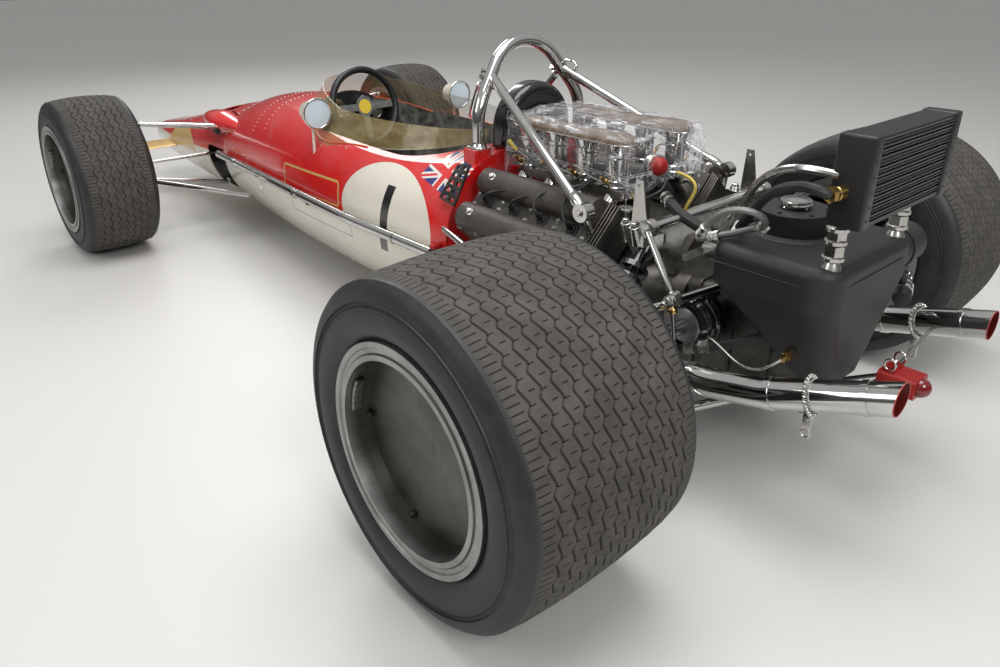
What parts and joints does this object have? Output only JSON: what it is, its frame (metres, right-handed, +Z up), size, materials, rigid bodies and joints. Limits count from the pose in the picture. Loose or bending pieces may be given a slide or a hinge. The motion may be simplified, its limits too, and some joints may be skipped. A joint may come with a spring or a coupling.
{
  "type": "open wheel racing car",
  "caption": "Single seat open wheel racing car with red and cream hull, wide rear tyres, exposed vee engine under clear film, roll hoop and high oil cooler.",
  "frame": {"origin": "on the floor under the middle of the overall box", "axes": "+X forward along the car, +Y to the car's left, +Z up"},
  "size_m": [4, 1.9774, 0.9209],
  "materials": {
    "red_paint": "glossy enamel",
    "cream_paint": "glossy enamel",
    "dark_metal": "matt black core",
    "amber_screen": "thin amber sheet",
    "black_cloth": "woven cover",
    "black_leather": "smooth, glossy",
    "black_satin": "satin black",
    "chromed": "polished",
    "cast_alloy": "sand cast",
    "brown_casting": "dark cast finish",
    "gauze": "fine wire gauze",
    "clear_film": "thin clear wrinkled film",
    "red_metal": "satin red",
    "bright_alloy": "machined",
    "steel": "brushed",
    "black_paint": "semi gloss",
    "tyre_rubber": "moulded rubber",
    "wheel_alloy": "cast, dull"
  },
  "bodies": {
    "chassis": {"monocoque": "red_paint", "nose_cone": "red_paint", "radiator": "dark_metal", "canards": "red_paint", "windscreen": "amber_screen", "seat": "black_cloth", "headrest": "black_leather", "dash_panel": "black_satin", "mirrors": "cream_paint", "roll_hoop": "chromed", "hoop_stays": "chromed", "side_pipes": "chromed", "engine_block": "cast_alloy", "cylinder_heads": "cast_alloy", "cam_covers": "brown_casting", "intakes": "chromed", "trumpet_screens": "gauze", "intake_film": "clear_film", "ignition_unit": "cast_alloy", "fuel_unit": "red_metal", "exhausts": "chromed", "gearbox": "cast_alloy", "rear_crossbeam": "bright_alloy", "oil_tank": "black_satin", "filler_cap": "bright_alloy", "oil_cooler": "black_satin", "cooler_unions": "bright_alloy", "tail_block": "red_metal", "tail_bracket": "steel", "rear_uprights": "cast_alloy", "rear_links": "chromed", "spring_dampers": "black_paint", "roll_bar": "chromed", "front_frame": "steel", "rocker_arms": "red_paint", "lower_wishbones": "chromed"},
    "knuckle_left": {"knuckle_left": "cast_alloy"},
    "knuckle_right": {"knuckle_right": "cast_alloy"},
    "wheel_front_left": {"tyre_front_left": "tyre_rubber", "rim_front_left": "wheel_alloy"},
    "wheel_front_right": {"tyre_front_right": "tyre_rubber", "rim_front_right": "wheel_alloy"},
    "wheel_rear_left": {"tyre_rear_left": "tyre_rubber", "rim_rear_left": "wheel_alloy", "half_shaft_left": "steel"},
    "wheel_rear_right": {"tyre_rear_right": "tyre_rubber", "rim_rear_right": "wheel_alloy", "half_shaft_right": "steel"},
    "steering_rack": {"steering_rack": "steel"},
    "steering_wheel": {"steering_wheel": "black_leather"}
  },
  "joints": [
    {"name": "steer_left", "type": "hinge", "parent": "chassis", "child": "knuckle_left", "pos_m": [0.995, 0.605, 0.313], "axis": [0, 0, 1], "range_deg": [-14, 14]},
    {"name": "steer_right", "type": "hinge", "parent": "chassis", "child": "knuckle_right", "pos_m": [0.995, -0.605, 0.313], "axis": [0, 0, 1], "range_deg": [-14, 14]},
    {"name": "rack_slide", "type": "slide", "parent": "chassis", "child": "steering_rack", "axis": [0, 1, 0], "range_m": [-0.026, 0.026]},
    {"name": "steering_wheel_turn", "type": "hinge", "parent": "chassis", "child": "steering_wheel", "pos_m": [0.145, 0, 0.605], "axis": [0.9703, 0, -0.2419], "range_deg": [-130, 130]},
    {"name": "spin_front_left", "type": "hinge", "parent": "knuckle_left", "child": "wheel_front_left", "pos_m": [0.995, 0.775, 0.313], "axis": [0, 1, 0], "continuous": true},
    {"name": "spin_front_right", "type": "hinge", "parent": "knuckle_right", "child": "wheel_front_right", "pos_m": [0.995, -0.775, 0.313], "axis": [0, 1, 0], "continuous": true},
    {"name": "spin_rear_left", "type": "hinge", "parent": "chassis", "child": "wheel_rear_left", "pos_m": [-1.495, 0.778, 0.329], "axis": [0, 1, 0], "continuous": true},
    {"name": "spin_rear_right", "type": "hinge", "parent": "chassis", "child": "wheel_rear_right", "pos_m": [-1.495, -0.778, 0.329], "axis": [0, 1, 0], "continuous": true}
  ],
  "couplings": [
    {"joint": "steer_right", "follows": "steer_left", "ratio": 1},
    {"joint": "rack_slide", "follows": "steer_left", "m_per_rad": 0.105},
    {"joint": "steering_wheel_turn", "follows": "steer_left", "ratio": -9}
  ]
}
